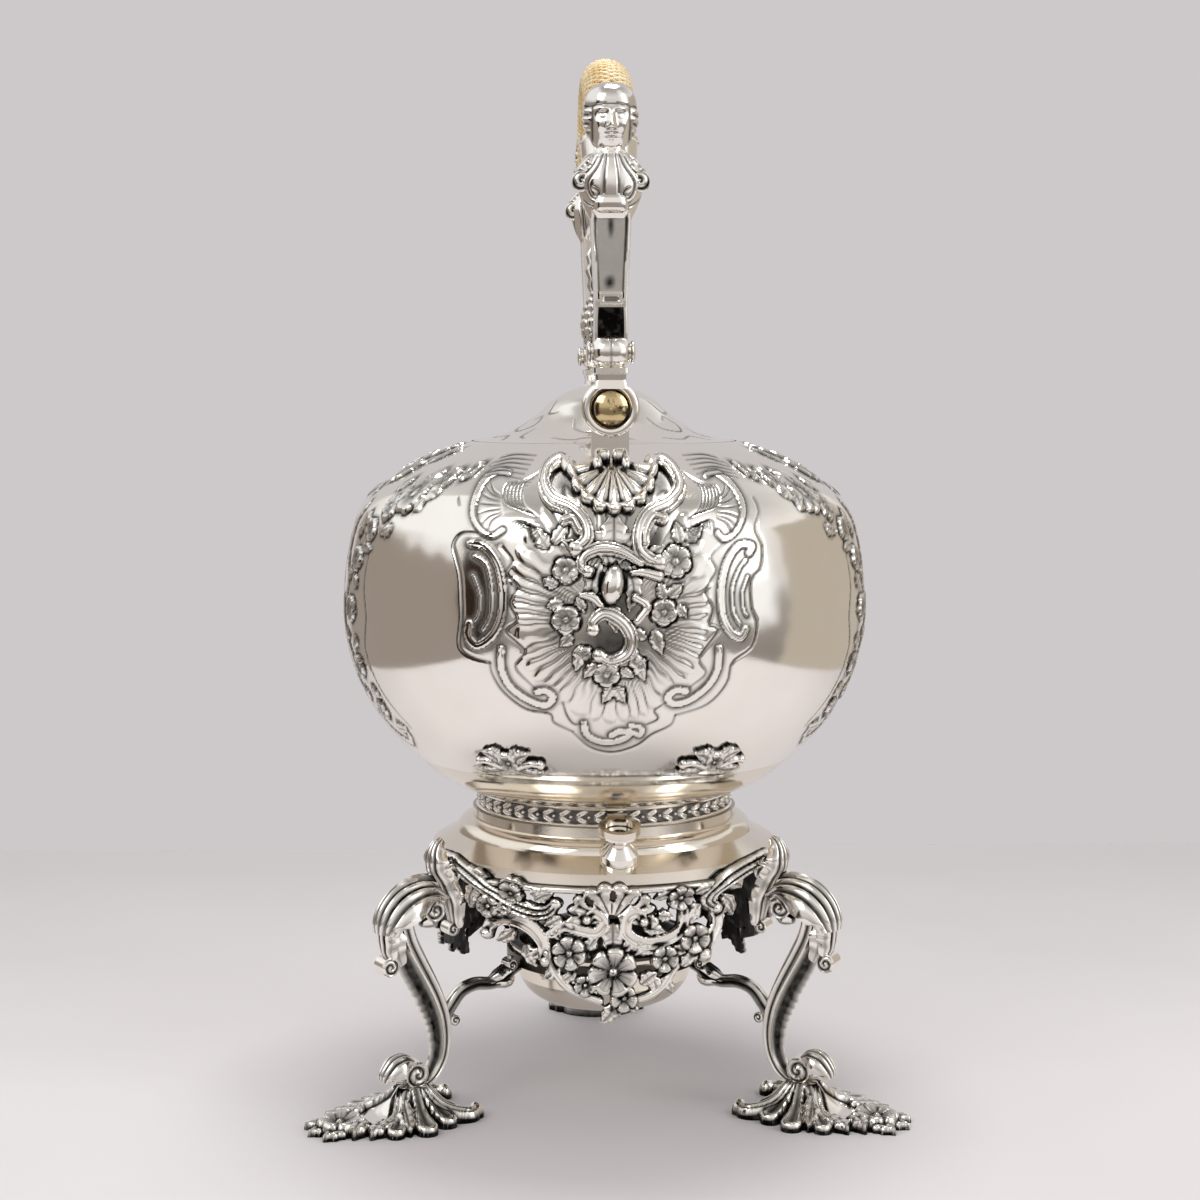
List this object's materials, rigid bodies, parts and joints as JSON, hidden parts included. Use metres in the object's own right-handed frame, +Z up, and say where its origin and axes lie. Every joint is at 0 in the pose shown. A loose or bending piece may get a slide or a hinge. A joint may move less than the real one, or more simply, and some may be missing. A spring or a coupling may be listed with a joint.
{
  "type": "tea kettle on lamp stand",
  "caption": "Silver tea kettle with a cane-wrapped swing handle and hinged lid, on a scrolled three-legged stand with a spirit lamp below",
  "frame": {"origin": "on the kettle's axis, at the table under the feet", "axes": "+Z up along the kettle's axis, -Y to the rear (away from the spout), +X to the right seen from the rear"},
  "size_m": [0.2094, 0.2541, 0.3772],
  "materials": {
    "silver": "polished silver with dark oxidised recesses",
    "cane": "varnished split cane, closely wound",
    "core_wood": "plain turned wood",
    "cotton": "woven cotton wick"
  },
  "bodies": {
    "stand": {"stand_collar": "silver", "pin_socket_rear": "silver", "pin_socket_front": "silver", "apron_rear": "silver", "apron_left": "silver", "apron_right": "silver", "leg_bracket_rear_left": "silver", "leg_bracket_rear_right": "silver", "leg_bracket_front": "silver", "leg_rear_left": "silver", "leg_rear_right": "silver", "leg_front": "silver", "foot_rear_left": "silver", "foot_rear_right": "silver", "foot_front": "silver", "lamp_arm_rear_left": "silver", "lamp_arm_rear_right": "silver", "lamp_arm_front": "silver", "lamp_ring": "silver"},
    "lamp": {"lamp_bowl": "silver", "lamp_cover": "silver", "burner_tube": "silver", "wick": "cotton"},
    "kettle": {"kettle_body": "silver", "foot_molding": "silver", "laurel_band": "silver", "foot_mounts": "silver", "escutcheon_rear": "silver", "escutcheon_front": "silver", "handle_lug_rear": "silver", "handle_lug_front": "silver", "bail_pin_rear": "silver", "bail_pin_front": "silver", "kettle_eye_rear": "silver", "kettle_eye_front": "silver", "spout": "silver", "hinge_knuckles": "silver", "hinge_pin": "silver", "chasing_rear": "silver", "chasing_right": "silver", "chasing_left": "silver"},
    "lid": {"lid_cover": "silver", "lid_bezel": "silver", "lid_knuckle": "silver", "finial": "silver", "finial_nut": "silver"},
    "bail": {"bail_arm_rear": "silver", "bail_arm_front": "silver", "bail_bust_rear": "silver", "bail_bust_front": "silver", "grip_core": "core_wood", "grip_cane": "cane"}
  },
  "joints": [
    {"name": "bail_swing", "type": "hinge", "parent": "kettle", "child": "bail", "pos_m": [0, 0, 0.2494], "axis": [0, 1, 0], "range_deg": [-90, 90]},
    {"name": "lid_hinge", "type": "hinge", "parent": "kettle", "child": "lid", "pos_m": [0, -0.0515, 0.23818], "axis": [1, 0, 0], "range_deg": [0, 36]},
    {"name": "kettle_lift", "type": "slide", "parent": "stand", "child": "kettle", "axis": [0, 0, 1], "range_m": [0, 0.08]},
    {"name": "lamp_lift", "type": "slide", "parent": "stand", "child": "lamp", "axis": [0, 0, 1], "range_m": [0, 0.02]}
  ]
}
